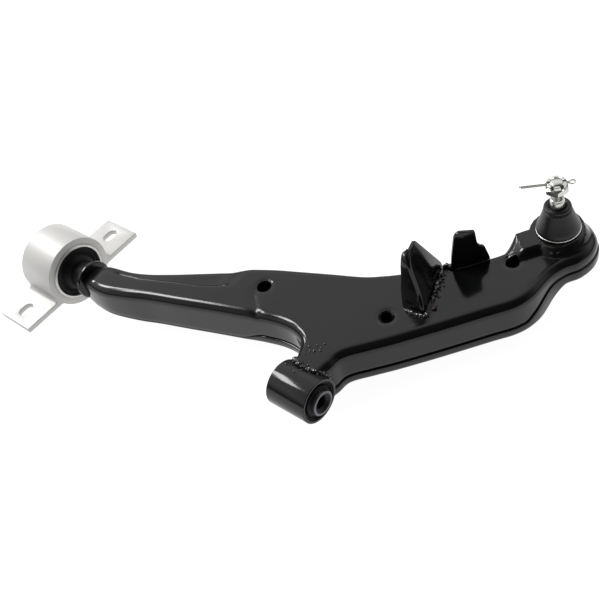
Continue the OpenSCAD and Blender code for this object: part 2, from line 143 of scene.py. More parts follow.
def lathe(name, profile, material, origin=(0, 0, 0), axis="Z", turns=96, closed=True,
          wobble=None, sharp=35):
    """Turns a profile of (radius, height) about an axis. wobble(theta, h) adds to the radius."""
    prof = np.array(profile, float)
    m = len(prof)
    theta = np.arange(turns) * 2 * math.pi / turns
    verts = []
    for r, h in prof:
        extra = wobble(theta, h) if wobble is not None else 0.0
        rr = np.maximum(r + extra, 0.0) if r > 0 else np.zeros(turns)
        verts.append(np.stack([rr * np.cos(theta), rr * np.sin(theta), np.full(turns, h)], 1))
    verts = np.concatenate(verts)
    faces = []
    last = m if closed else m - 1
    for i in range(last):
        j = (i + 1) % m
        for k in range(turns):
            l = (k + 1) % turns
            faces.append((i * turns + k, i * turns + l, j * turns + l, j * turns + k))
    if axis == "Y":
        verts = np.stack([verts[:, 1], verts[:, 2], verts[:, 0]], 1)
    verts = verts + np.array(origin, float)
    obj = new_object(name, verts, faces, material)
    mend(obj, merge=1e-6)
    obj.data.polygons.foreach_set("use_smooth", [True] * len(obj.data.polygons))
    obj.data.set_sharp_from_angle(angle=math.radians(sharp))
    return obj


def sweep(name, path, radius, material, sides=14, lumps=0.0, seed=0.0):
    """Round bar along a path in millimetres. lumps makes it uneven, like weld metal."""
    pts = [Vector(p) for p in path]
    n = len(pts)
    radii = [radius] * n if np.isscalar(radius) else list(radius)
    tangents = [(pts[min(i + 1, n - 1)] - pts[max(i - 1, 0)]).normalized() for i in range(n)]
    up = Vector((0, 0, 1)) if abs(tangents[0].z) < 0.9 else Vector((1, 0, 0))
    side = tangents[0].cross(up).normalized()
    verts, faces = [], []
    for i, (p, t) in enumerate(zip(pts, tangents)):
        side = (side - t * side.dot(t)).normalized()
        other = t.cross(side)
        for k in range(sides):
            a = 2 * math.pi * k / sides
            d = side * math.cos(a) + other * math.sin(a)
            r = radii[i]
            if lumps:
                q = p + d * r
                r *= 1 + lumps * noise.noise(q * 0.45 + Vector((seed, 0, 0)))
                r *= 1 + 0.5 * lumps * noise.noise(q * 1.3 + Vector((0, seed, 0)))
            verts.append(p + d * r)
    for i in range(n - 1):
        for k in range(sides):
            l = (k + 1) % sides
            faces.append((i * sides + k, i * sides + l, (i + 1) * sides + l, (i + 1) * sides + k))
    faces.append(tuple(range(sides))[::-1])
    faces.append(tuple((n - 1) * sides + k for k in range(sides)))
    return new_object(name, verts, faces, material, 50)


def spline(points, steps):
    """Open Catmull-Rom curve through the points."""
    p = np.array(points, float)
    ext = np.concatenate([2 * p[:1] - p[1:2], p, 2 * p[-1:] - p[-2:-1]])
    tt = (np.arange(steps) / steps)[:, None]
    out = []
    for i in range(len(p) - 1):
        a, b, c, d = ext[i:i + 4]
        out.append(0.5 * (2 * b + (c - a) * tt + (2 * a - 5 * b + 4 * c - d) * tt ** 2
                          + (3 * b - a - 3 * c + d) * tt ** 3))
    out.append(p[-1:])
    return np.concatenate(out)


def inside(points, polygon):
    """Even-odd test of many points against one polygon."""
    x, y = points[:, 0][:, None], points[:, 1][:, None]
    a, b = polygon, np.roll(polygon, -1, 0)
    crosses = (a[:, 1] > y) != (b[:, 1] > y)
    slope = (b[:, 0] - a[:, 0]) / np.where(np.abs(b[:, 1] - a[:, 1]) < 1e-9, 1e-9,
                                           b[:, 1] - a[:, 1])
    return (np.sum(crosses & (x < a[:, 0] + slope * (y - a[:, 1])), 1) % 2) == 1


def near(points, loop, gap):
    """True for points closer to the loop's points than gap."""
    out = np.zeros(len(points), bool)
    for start in range(0, len(points), 2000):
        block = points[start:start + 2000]
        d = np.hypot(block[:, None, 0] - loop[None, :, 0], block[:, None, 1] - loop[None, :, 1])
        out[start:start + 2000] = d.min(1) < gap
    return out


def fill_plan(boundary, holes, pitch):
    """Triangles over a plan outline with round holes. holes are (centre, radii from the rim out).
    Returns the points, the triangles and, for each hole, the indices of its rim."""
    points = [boundary]
    edges = []

    def loop(start, count):
        edges.extend((start + k, start + (k + 1) % count) for k in range(count))

    loop(0, len(boundary))
    total = len(boundary)
    rims = []
    for centre, radii in holes:
        count = max(28, int(2 * math.pi * radii[0] / 1.1))
        a = np.arange(count) * 2 * math.pi / count
        for j, r in enumerate(radii):
            points.append(np.array(centre) + r * np.stack([np.cos(a), np.sin(a)], 1))
            loop(total, count)
            if j == 0:
                rims.append(list(range(total, total + count)))
            total += count
    low, high = boundary.min(0), boundary.max(0)
    gx, gy = np.meshgrid(np.arange(low[0], high[0], pitch), np.arange(low[1], high[1], pitch))
    grid = np.stack([gx.ravel(), gy.ravel()], 1)
    grid = grid[inside(grid, boundary)]
    grid = grid[~near(grid, boundary, pitch * 0.6)]
    for centre, radii in holes:
        d = np.hypot(grid[:, 0] - centre[0], grid[:, 1] - centre[1])
        grid = grid[d > radii[-1] + pitch * 0.6]
    points.append(grid)
    points = np.concatenate(points)
    out = delaunay_2d_cdt([Vector(p) for p in points], edges, [], 0, 1e-5)
    verts = np.array([tuple(v) for v in out[0]])
    tris = np.array([f for f in out[2] if len(f) == 3])
    centres = verts[tris].mean(1)
    keep = inside(centres, boundary)
    for centre, radii in holes:
        keep &= np.hypot(centres[:, 0] - centre[0], centres[:, 1] - centre[1]) > radii[0] * 0.985
    source = {}
    for new, originals in enumerate(out[3]):
        for o in originals:
            source[o] = new
    rims = [[source[i] for i in rim] for rim in rims]
    return verts, tris[keep], [source[i] for i in range(len(boundary))], rims


# ---------------------------------------------------------------- materials
def shader(name, color, metallic, rough, coat=0.0, bump=0.0, bump_scale=400.0,
           rough_spread=0.06, tint=None, stretch=(1, 1, 1), specular=0.5):
    """Procedural surface: uneven roughness, slight colour drift and a fine bump."""
    material = bpy.data.materials.new(name)
    material.use_nodes = True
    nodes, links = material.node_tree.nodes, material.node_tree.links
    bsdf = nodes["Principled BSDF"]
    bsdf.inputs["Metallic"].default_value = metallic
    bsdf.inputs["Specular IOR Level"].default_value = specular
    bsdf.inputs["Coat Weight"].default_value = coat
    bsdf.inputs["Coat Roughness"].default_value = max(0.03, rough * 0.35)
    place = nodes.new("ShaderNodeTexCoord")
    mapping = nodes.new("ShaderNodeMapping")
    mapping.inputs["Scale"].default_value = stretch
    links.new(place.outputs["Object"], mapping.inputs["Vector"])
    wide = nodes.new("ShaderNodeTexNoise")
    wide.inputs["Scale"].default_value = 26.0
    wide.inputs["Detail"].default_value = 5.0
    links.new(mapping.outputs["Vector"], wide.inputs["Vector"])
    spread = nodes.new("ShaderNodeMapRange")
    spread.inputs["To Min"].default_value = max(0.02, rough - rough_spread)
    spread.inputs["To Max"].default_value = rough + rough_spread
    links.new(wide.outputs["Fac"], spread.inputs["Value"])
    links.new(spread.outputs["Result"], bsdf.inputs["Roughness"])
    mix = nodes.new("ShaderNodeMix")
    mix.data_type = "RGBA"
    other = tint or tuple(c * 0.8 for c in color)
    mix.inputs["A"].default_value = (*color, 1)
    mix.inputs["B"].default_value = (*other, 1)
    links.new(wide.outputs["Fac"], mix.inputs["Factor"])
    links.new(mix.outputs["Result"], bsdf.inputs["Base Color"])
    if bump:
        fine = nodes.new("ShaderNodeTexNoise")
        fine.inputs["Scale"].default_value = bump_scale
        fine.inputs["Detail"].default_value = 3.0
        links.new(mapping.outputs["Vector"], fine.inputs["Vector"])
        relief = nodes.new("ShaderNodeBump")
        relief.inputs["Strength"].default_value = bump
        relief.inputs["Distance"].default_value = 0.0002
        links.new(fine.outputs["Fac"], relief.inputs["Height"])
        links.new(relief.outputs["Normal"], bsdf.inputs["Normal"])
    return material


PAINT = shader("arm_paint", (0.004, 0.0042, 0.0047), 0.0, 0.12, bump=0.06, bump_scale=260,
               rough_spread=0.04, tint=(0.006, 0.0063, 0.0057), specular=0.36)
BEAD = shader("weld_paint", (0.006, 0.006, 0.0065), 0.0, 0.10, coat=0.8, bump=0.12,
              bump_scale=500, rough_spread=0.04)
RUST = shader("rust_spot", (0.075, 0.045, 0.035), 0.1, 0.45, bump=0.6, bump_scale=900,
              tint=(0.03, 0.022, 0.02))
ALLOY = shader("bracket_alloy", (0.60, 0.595, 0.58), 0.2, 0.45, bump=0.12, bump_scale=500,
               stretch=(1, 0.05, 1), tint=(0.56, 0.555, 0.54))
ALLOY_RING = shader("sleeve_alloy", (0.70, 0.69, 0.66), 0.5, 0.33, bump=0.08, bump_scale=600,
                    tint=(0.64, 0.63, 0.60))
RUBBER = shader("bush_rubber", (0.005, 0.005, 0.0055), 0.0, 0.52, bump=0.2, bump_scale=900,
                rough_spread=0.1, specular=0.2)
BOOT = shader("boot_rubber", (0.007, 0.007, 0.0075), 0.0, 0.38, bump=0.1, bump_scale=800,
              rough_spread=0.06, specular=0.4)
SLEEVE = shader("sleeve_steel", (0.16, 0.16, 0.175), 0.9, 0.35, bump=0.1, bump_scale=700,
                tint=(0.10, 0.10, 0.12))
# dark matte material, used on the front sleeve's bore and countersink feet and on the whole rear
# inner tube
DARK_BORE = shader("bore_dark", (0.012, 0.012, 0.016), 0.0, 0.5, bump=0.1, specular=0.25)
ZINC = shader("zinc_steel", (0.66, 0.66, 0.63), 0.95, 0.24, bump=0.08, bump_scale=900,
              tint=(0.52, 0.52, 0.50), rough_spread=0.08)
PLASTIC = shader("bearing_plastic", (0.6, 0.58, 0.5), 0.0, 0.5, bump=0.05)

# ---------------------------------------------------------------- the arm's plan
FRONT = [(-17, 337), (-19, 318), (-18, 296), (-10, 268), (2, 235), (14, 196), (26, 158),
         (36, 125), (44, 98), (50, 72), (50, 50), (42, 32), (28, 24), (9, 17), (9, -12),
         (30, -19), (48, -22), (68, -39), (88, -57), (124, -87), (164, -119), (188, -138),
         (210, -146), (240, -148), (258, -154), (272, -163), (290, -167), (308, -163),
         (321, -151), (328, -136)]
REAR = [(17, 337), (21, 318), (27, 296), (37, 268), (52, 238), (69, 208), (86, 178), (98, 156),
        (112, 127), (124, 97), (137, 64), (151, 28), (163, 8), (170, -2), (177, -11),
        (184, -19), (191, -28), (199, -37), (208, -47), (217, -58), (227, -69), (238, -80),
        (250, -88), (262, -91), (274, -91), (286, -91), (298, -93), (310, -99), (320, -107),
        (327, -118)]
STEPS = 9
TOP_Z, SEAM_Z, FLOOR_Z = 20.0, -15.0, -28.4
TOP_R, LOW_R = 10.0, 7.0
PAD_Z = 30.0
TIP_NEAR = 44.0
LEG_EDGE = 3.4                     # height of the leg's seam above its underside
TAPER_FROM, TAPER_LEN = 250, 87    # where the leg gets shallower, rearwards
SAG_FROM, SAG_LEN = 310, 27        # last stretch, where the roof sags to the collar
TIP_SEAM_RISE, TIP_SEAM_FROM = 19.0, 95.0
TIP_FLOOR_RISE, TIP_FLOOR_FROM = 17.0, 80.0
SHEET = 0.0024                     # sheet thickness in metres

outline = spline(FRONT + REAR[::-1], STEPS)
WINDOW = 4                         # points each way that a direction is averaged over


def outward(curve):
    """Unit normals of an open curve, to its right."""
    n = len(curve)
    i = np.arange(n)
    d = curve[np.minimum(i + WINDOW, n - 1)] - curve[np.maximum(i - WINDOW, 0)]
    d /= np.hypot(d[:, 0], d[:, 1])[:, None]
    return np.stack([d[:, 1], -d[:, 0]], 1)


normals = outward(outline)


def taper(y):
    """0 ahead of the leg's tapered stretch, rising to 1 at the leg's end."""
    return np.clip((y - TAPER_FROM) / TAPER_LEN, 0, 1)


def roof(y):
    """Height of the flat top before its pressed relief."""
    sag = np.clip((y - SAG_FROM) / SAG_LEN, 0, 1)
    return TOP_Z - 1.5 * taper(y) - 5.0 * sag ** 2


def tip_share(p, start):
    """0 at the distance start from the ball joint's axis, rising to 1 at the tip."""
    d = np.hypot(p[:, 0] - BALL[0], p[:, 1] - BALL[1])
    return np.clip((start - d) / (start - TIP_NEAR), 0, 1)


def leg_share(y):
    """0 along the body, 1 along the leg, where the seam lies on the lower edge."""
    return smooth((y - 96) / 34)


def seam(p):
    """Height of the welded seam between the pressings."""
    tip = TIP_SEAM_RISE * np.sin(math.pi / 2 * tip_share(p, TIP_SEAM_FROM))
    return SEAM_Z + tip + leg_share(p[:, 1]) * (sump(p) + LEG_EDGE - SEAM_Z)


def sump(p):
    """Height of the underside."""
    return FLOOR_Z + 8.0 * taper(p[:, 1]) + TIP_FLOOR_RISE * tip_share(p, TIP_FLOOR_FROM) ** 2


CREASE_Y = (153, 172, 190, 219, 248, 268, 292, 320)
CREASE_X = (62, 52, 44, 34, 23, 16, 11, 7)
SHELF_DROP, SHELF_EDGE = 4.6, 7.5
GROOVE_AT, GROOVE_DEPTH, GROOVE_W = (46, 98), 1.5, 4.2
PAD_R = 29.2
RAMP = math.radians(142)           # where the pad's ramp points, anticlockwise from +X
RAMP_FLAT, RAMP_FALL, RAMP_HALF, RAMP_FADE = 42, 17, 12, 8


def relief(x, y, z):
    """Height of the pressed top surface: leg crease, cross groove, pad and ramp."""
    weight = smooth((z + 2) / 12)
    # lower shelf outboard of the leg's crease
    s = (x - np.interp(y, CREASE_Y, CREASE_X)) * 0.93
    along = smooth((y - 148) / 30) * (1 - smooth((y - 285) / 40))
    z = z - weight * along * (SHELF_DROP * smooth(s / SHELF_EDGE) + 0.02 * np.clip(s - 7, 0, 40))
    # shallow groove across the leg where it joins the body
    gx, gy = x - GROOVE_AT[0], y - GROOVE_AT[1]
    dx, dy = gx * 0.66 + gy * 0.75, -gx * 0.75 + gy * 0.66
    z = z - weight * GROOVE_DEPTH * np.exp(-(dy / GROOVE_W) ** 2) * (1 - smooth((dx - 22) / 26))
    # raised pad round the ball joint, with a longer slope at the front and a ramp
    px, py = x - BALL[0], y - BALL[1]
    r = np.hypot(px, py)
    facing = smooth((-(px * -0.1 + py * 1.0) / np.maximum(r, 1) - 0.25) / 0.6)
    r0 = PAD_R - 4.0 * facing
    pad = 1 - smooth((r - r0) / (3.6 + 4.5 * facing))
    u = px * math.cos(RAMP) + py * math.sin(RAMP)
    v = -px * math.sin(RAMP) + py * math.cos(RAMP)
    slope = np.clip(1 - (u - RAMP_FLAT) / RAMP_FALL, 0, 1)
    slope = slope * (1 - smooth((np.abs(v) - RAMP_HALF) / RAMP_FADE)) * (u > 0)
    up = np.maximum(pad, slope)
    return np.where(weight > 0, z + weight * up * (PAD_Z - z), z)


def wall_ring(inset, z):
    """Outline moved inwards, with a height for each of its points."""
    p = outline - normals * np.broadcast_to(inset, len(outline))[:, None]
    return np.column_stack([p, np.broadcast_to(z, len(p))])


EYE_WALL_R, EYE_HALF = 23.4, 25.0


def clear_of_eye(v):
    """Draws points that fall inside the front eye out to the middle of its wall."""
    r = np.hypot(v[:, 0], v[:, 2])
    hit = (np.abs(v[:, 1]) < EYE_HALF) & (r < EYE_WALL_R)
    k = np.where(hit, EYE_WALL_R / np.maximum(r, 0.5), 1.0)
    v[:, 0] *= k
    v[:, 2] *= k
    return v


def strip_faces(rows, n, flip):
    """Quads between neighbouring rows of n points."""
    faces = []
    for i in range(rows - 1):
        for k in range(n - 1):
            a, b = i * n + k, i * n + k + 1
            f = (a, b, b + n, a + n)
            faces.append(f[::-1] if flip else f)
    return faces


def shell(name, rings, holes, cap_z, material, upper):
    """Sheet pressing: rows of the outline up to the rolled edge, then the flat with its holes."""
    n = len(outline)
    last = rings[-1]
    plan, tris, edge, rims = fill_plan(last[:, :2], holes, 2.3)
    heights = cap_z(plan, holes)
    verts = [np.concatenate(rings)]
    cap = np.column_stack([plan, heights])
    base = n * (len(rings) - 1)
    index = np.full(len(plan), -1)
    for k, e in enumerate(edge):
        index[e] = base + k
    free = np.where(index < 0)[0]
    index[free] = n * len(rings) + np.arange(len(free))
    verts.append(cap[free])
    faces = strip_faces(len(rings), n, not upper)
    tri = index[tris]
    one, two = plan[tris[:, 1]] - plan[tris[:, 0]], plan[tris[:, 2]] - plan[tris[:, 0]]
    area = one[:, 0] * two[:, 1] - one[:, 1] * two[:, 0]
    for t, a in zip(tri, area):
        up = a > 0
        faces.append(tuple(t) if up == upper else tuple(t[::-1]))
    total = n * len(rings) + len(free)
    sign = -1 if upper else 1
    for rim in rims:
        ids = index[rim]
        points = cap[rim]
        centre = points[:, :2].mean(0)
        ring_ids = [ids]
        for depth, grow in ((0.5, -0.25), (1.2, -0.4), (3.0, -0.4)):
            q = points.copy()
            d = q[:, :2] - centre
            q[:, :2] = centre + d * (1 + grow / np.hypot(d[:, 0], d[:, 1])[:, None])
            q[:, 2] += sign * depth
            verts.append(q)
            ring_ids.append(np.arange(total, total + len(q)))
            total += len(q)
        for a, b in zip(ring_ids[:-1], ring_ids[1:]):
            m = len(a)
            for k in range(m):
                l = (k + 1) % m
                f = (a[l], a[k], b[k], b[l])
                faces.append(f if upper else f[::-1])
    verts = clear_of_eye(np.concatenate(verts))
    obj = new_object(name, verts, faces, material, 60)
    mend(obj, merge=2e-5)
    solid = obj.modifiers.new("sheet", "SOLIDIFY")
    solid.thickness = SHEET
    solid.offset = -1.0
    solid.use_even_offset = False
    return apply_modifiers(obj, 55)


ARC = 11                           # steps of a rolled edge
ys = outline[:, 1]


def top_profile():
    """Rows of the upper pressing, from the seam up its wall and over the rolled edge."""
    seam_z = seam(outline)
    rise = roof(ys) - TOP_R - seam_z
    rows = [wall_ring(0.25, seam_z)]
    for share in (0.03, 0.2, 0.44, 0.68, 0.88):
        rows.append(wall_ring(0.0, seam_z + share * rise))
    for k in range(ARC + 1):
        t = math.pi / 2 * k / ARC
        inset = TOP_R * (1 - math.cos(t))
        z = roof(ys) - TOP_R * (1 - math.sin(t))
        rows.append(wall_ring(inset, z))
    for row in rows:
        row[:, 2] = relief(row[:, 0], row[:, 1], row[:, 2])
    return rows


def top_heights(plan, holes):
    """Heights of the top, dished slightly at the small holes."""
    z = relief(plan[:, 0], plan[:, 1], roof(plan[:, 1]))
    for centre, radii in holes:
        d = np.hypot(plan[:, 0] - centre[0], plan[:, 1] - centre[1])
        if radii[0] < 15:
            z = z - 0.9 * (1 - smooth((d - radii[0]) / 4.5))
    return z


def hole(x, y, r):
    """A round hole's centre and the radii of the rings of points round it."""
    return ((x, y), [r, r + 0.5, r + 1.1, r + 1.9, r + 3.0, r + 4.6])


upper = shell("upper_pressing", top_profile(),
              [hole(82.5, 118, 8.4), hole(112, -31, 8.8), hole(237, -104.5, 7.6),
               ((BALL[0], BALL[1]), [21.0, 22.0, 23.5])],
              top_heights, PAINT, True)


def low_profile():
    """Rows of the lower pressing, from the seam's lip down its wall to the underside."""
    seam_z = seam(outline)
    low_z = sump(outline)
    leg = leg_share(ys)
    knee = np.minimum(seam_z - 1.5 + 0.8 * leg, seam_z - 0.55 * (seam_z - low_z - LOW_R))
    body = 1 - leg
    rows = [wall_ring(1.6, seam_z), wall_ring(-0.7 * body, seam_z),
            wall_ring(-1.3 * body, seam_z - 0.4 * body),
            wall_ring(-1.5 * body, seam_z - 1.2 * body - 0.2 * leg),
            wall_ring(-1.5 * body, knee)]
    for k in range(ARC + 1):
        t = math.pi / 2 * k / ARC
        radius = LOW_R * body + (LEG_EDGE - 0.6) * leg
        inset = radius * (1 - math.cos(t)) - 1.5 * body
        z = np.minimum(low_z + radius * (1 - math.sin(t)), knee)
        rows.append(wall_ring(inset, z))
    return rows


def low_heights(plan, holes):
    """Heights of the underside, with its rib."""
    z = sump(plan)
    # stiffening rib along the middle of the body
    a, b = np.array([95.0, 60.0]), np.array([215.0, -105.0])
    d = (b - a) / np.linalg.norm(b - a)
    q = plan - a
    t = np.clip(q @ d, 0, np.linalg.norm(b - a))
    away = np.linalg.norm(q - t[:, None] * d, axis=1)
    return z + 4.0 * (1 - smooth((away - 10) / 10))


lower = shell("lower_pressing", low_profile(),
              [((BALL[0], BALL[1]), [27.0, 27.6, 28.4, 29.6])],
              low_heights, PAINT, False)

# ---------------------------------------------------------------- front bush
eye = lathe("front_tube", rounded([(22, -25.5), (25, -25.5), (25, 25.5), (22, 25.5)], 0.9),
            PAINT, axis="Y", turns=128)
cup = lathe("front_cup", rounded([(20.5, -24), (22, -24), (22, 24), (20.5, 24)], 0.4),
            RUBBER, axis="Y", turns=96)


def mirrored_y(half):
    """Closed profile from its half with positive heights."""
    return half + [(r, -h) for r, h in half[::-1]]


front_rubber = lathe("front_bush_rubber", rounded(mirrored_y(
    [(20.4, 22.8), (19.2, 22.9), (18.6, 21.2), (17.6, 21.0), (17.0, 23.8), (15.4, 24.9),
     (14.6, 26.3), (13.85, 26.5)]), 0.7), RUBBER, axis="Y", turns=96)
front_sleeve = lathe("front_bush_sleeve", rounded(
    [(7.2, -26.7), (11, -30.5), (13.8, -30.5), (13.8, 30.5), (11, 30.5), (7.2, 26.7)], 0.5),
                     SLEEVE, axis="Y", turns=96)
DARK_WITHIN = 0.0116               # faces nearer the axis than this, the sleeve's bore and the foot of its countersinks, take the dark bore material
front_sleeve.data.materials.append(DARK_BORE)
for face in front_sleeve.data.polygons:
    if math.hypot(face.center.x, face.center.z) < DARK_WITHIN:
        face.material_index = 1

# ---------------------------------------------------------------- rear bush and its bracket
BRACKET_Y, BRACKET_LEN = 370.0, 57.0
BARREL_R, BORE_R, EAR_TOP, EAR_T, EAR_X, FILLET = 44.0, 35.5, -15.0, 7.0, 93.5, 6.0


def fillet_arc(face_z, up, count=9):
    """Points of the fillet between an ear's face and the barrel, from the ear inwards."""
    cz = face_z + up * FILLET
    cx = math.sqrt((BARREL_R + FILLET) ** 2 - cz * cz)
    start = math.atan2(-up, 0)
    end = math.atan2(-cz, -cx)
    if up > 0 and end > 0:
        end -= 2 * math.pi
    if up < 0 and end < 0:
        end += 2 * math.pi
    return [(cx + FILLET * math.cos(a), cz + FILLET * math.sin(a))
            for a in np.linspace(start, end, count)]


upper_arc = fillet_arc(EAR_TOP, 1)
lower_arc = fillet_arc(EAR_TOP - EAR_T, -1)
a_top = math.atan2(upper_arc[-1][1], upper_arc[-1][0])
a_low = math.atan2(lower_arc[-1][1], lower_arc[-1][0])
right = [(BARREL_R * math.cos(a), BARREL_R * math.sin(a))
         for a in np.linspace(-math.pi / 2, a_low, 20)[:-1]]
right += lower_arc[::-1]
right += rounded([(lower_arc[0][0], EAR_TOP - EAR_T), (EAR_X, EAR_TOP - EAR_T),
                  (EAR_X, EAR_TOP), (upper_arc[0][0], EAR_TOP)], 1.0, 4, closed=False)[1:-1]
right += upper_arc
right += [(BARREL_R * math.cos(a), BARREL_R * math.sin(a))
          for a in np.linspace(a_top, math.pi / 2, 48)[1:]]
section = np.array(right + [(-x, z) for x, z in right[::-1][1:-1]])
bore_a = np.arange(128) * 2 * math.pi / 128
bore = BORE_R * np.stack([np.cos(bore_a), np.sin(bore_a)], 1)
both = [Vector(p) for p in np.concatenate([section, bore])]
ns, nb = len(section), len(bore)
ring_edges = ([(k, (k + 1) % ns) for k in range(ns)]
              + [(ns + k, ns + (k + 1) % nb) for k in range(nb)])
flat = delaunay_2d_cdt(both, ring_edges, [], 0, 1e-6)
flat_points = np.array([tuple(v) for v in flat[0]])
flat_tris = np.array(flat[2])
mid = flat_points[flat_tris].mean(1)
flat_tris = flat_tris[inside(mid, section) & (np.hypot(mid[:, 0], mid[:, 1]) > BORE_R * 0.9995)]
count = len(flat_points)
front_face = np.column_stack([flat_points[:, 0], np.full(count, BRACKET_Y), flat_points[:, 1]])
back_face = front_face + [0, BRACKET_LEN, 0]
walls = []
for start, m in ((0, ns), (ns, nb)):
    for k in range(m):
        a, b = start + k, start + (k + 1) % m
        walls.append((a, b, b + count, a + count))
bracket = new_object("bush_bracket", np.concatenate([front_face, back_face]),
                     [tuple(t) for t in flat_tris] + [tuple(t[::-1] + count) for t in flat_tris]
                     + walls, ALLOY)
mend(bracket, flatten=math.radians(0.5))
SLOT_X, SLOT_Y, SLOT_R, SLOT_HALF = 73, 400, 7, 3
for side in (-1, 1):
    a = np.linspace(-math.pi / 2, math.pi / 2, 17)
    slot = [(SLOT_HALF + SLOT_R * math.cos(t), SLOT_R * math.sin(t)) for t in a]
    slot += [(-x, -y) for x, y in slot]
    m = len(slot)
    verts = [(side * SLOT_X + x, SLOT_Y + y, z) for z in (-24, -13) for x, y in slot]
    faces = [tuple(range(m))[::-1], tuple(range(m, 2 * m))]
    faces += [(k, (k + 1) % m, (k + 1) % m + m, k + m) for k in range(m)]
    cut(bracket, new_object("slot_cutter", verts, faces, ALLOY))
soften_edges(bracket, 0.7, 3, 50, 32)

rear_cup = lathe("rear_cup", rounded([(32.4, 368.5), (34.4, 368.5), (35.5, 369.8), (35.5, 427.2),
                                      (34.4, 428.5), (32.4, 428.5)], 0.35),
                 ALLOY_RING, axis="Y", turns=128)
rear_rubber = lathe("rear_bush_rubber", rounded(
    [(16.1, 361.5), (19.5, 362.5), (22, 366.5), (24.5, 371.5), (28, 374.0), (30.5, 373.2),
     (32.4, 371.0), (32.4, 426.0), (30.5, 424.0), (28, 423.2), (24.5, 425.2), (20, 431.2),
     (16.1, 433.0)], 1.2), RUBBER, axis="Y", turns=128)
pin_profile = rounded([(0, 286), (11.8, 286), (13, 287.2), (13, 335), (22.5, 337.4), (23.5, 338.6),
                       (23.5, 342.8), (22.3, 344), (10, 344), (10, 436), (7.9, 437.2)],
                      0.6, 4, closed=False)


def thread_rows(r, z0, z1, step=0.3):
    """Closely spaced profile points, so that screw() can shape a thread from them."""
    return [(r, z) for z in np.arange(z0, z1, step)]


pin_rows = ([tuple(p) for p in pin_profile] + thread_rows(7.9, 437.5, 454.6)
            + [(6.6, 456), (0, 456)])


def screw(start, end, pitch, depth):
    """Wobble for lathe() that cuts a thread between two heights."""
    def wobble(theta, h):
        if not start < h < end:
            return 0.0
        phase = (h / pitch - theta / (2 * math.pi)) % 1.0
        return -depth * np.abs(phase * 2 - 1) ** 1.2
    return wobble


pivot_pin = lathe("pivot_pin", pin_rows, PAINT, axis="Y", turns=72, closed=False,
                  wobble=screw(438, 454.5, 2.0, 1.0), sharp=40)
rear_sleeve = lathe("rear_inner_tube", rounded([(10, 344), (16, 344), (16, 436), (10, 436)], 0.5),
                    DARK_BORE, axis="Y", turns=80)
rear_washer = lathe("rear_plate_washer", rounded([(8.0, 436), (20, 436), (20, 440), (8.0, 440)],
                                                 0.5), ZINC, axis="Y", turns=80)


def hexagon(name, af, z0, z1, hole_r, material, turn=0.0):
    """Nut blank along Z with chamfered corners and a round hole."""
    corner = af / 2 / math.cos(math.pi / 6)
    ring = [(corner * math.cos(a), corner * math.sin(a))
            for a in turn + np.arange(6) * math.pi / 3]
    verts = [(x, y, z0) for x, y in ring] + [(x, y, z1) for x, y in ring]
    faces = [(5, 4, 3, 2, 1, 0), (6, 7, 8, 9, 10, 11)]
    faces += [(k, (k + 1) % 6, (k + 1) % 6 + 6, k + 6) for k in range(6)]
    blank = new_object(name, verts, faces, material)
    drop = 1.3
    cone = lathe("chamfer", [(0, z0), (af / 2 - 0.1, z0), (corner + 0.3, z0 + drop),
                             (corner + 0.3, z1 - drop), (af / 2 - 0.1, z1), (0, z1)],
                 material, turns=72, closed=False)
    cut(blank, cone, "INTERSECT")
    drill = lathe("drill", [(0, z0 - 2), (hole_r, z0 - 2), (hole_r, z1 + 2), (0, z1 + 2)],
                  material, turns=48, closed=False)
    return cut(blank, drill)


rear_nut = hexagon("pin_nut", 24, 440, 453, 7.4, ZINC, 0.2)
rear_nut.data.transform(Matrix.Rotation(-math.pi / 2, 4, "X"))
soften_edges(rear_nut, 0.25, 2, 35)

# ---------------------------------------------------------------- ball joint
bx, by = BALL
ball_at = (bx, by, 0)
socket = lathe("socket", rounded(
    [(16, -10), (21, -10), (21, 31.2), (20.4, 32), (18.2, 32), (11.9, 21), (17, 21), (17, -5.5),
     (18, -5.5), (18, -8.5), (16, -8.5)], 0.5), PAINT, ball_at)
bearing = lathe("bearing_shell", rounded(
    [(17, -5.5), (17, 21), (12.1, 21)]
    + [(13.56 * math.cos(a), 14 + 13.56 * math.sin(a)) for a in np.linspace(0.47, -1.1, 14)]
    + [(6, -5.5)], 0.15), PLASTIC, ball_at, turns=64)
cover = lathe("socket_cover", rounded([(0, -8.5), (14, -8.5), (15.5, -8.2), (18, -8.2),
                                       (18, -5.5), (0, -5.5)], 0.6, closed=False), ZINC,
              ball_at, turns=72, closed=False)
stud_rows = [(13.5 * math.cos(a), 14 + 13.5 * math.sin(a))
             for a in np.linspace(-1.0, 1.04, 26)]
stud_rows = [(0, 2.64)] + stud_rows
stud_rows += rounded([(6.8, 26), (6.8, 39), (9, 46), (7.4, 71), (6.7, 72.2), (6.5, 73.5)], 0.8, 4,
                     closed=False)
stud_rows += thread_rows(6.9, 73.8, 94.6, 0.25)
stud_rows += [(6.2, 95.3), (5.4, 96), (0, 96)]
stud = lathe("stud", stud_rows, ZINC, ball_at, turns=80, closed=False,
             wobble=screw(74, 94.6, 1.5, 0.55), sharp=42)

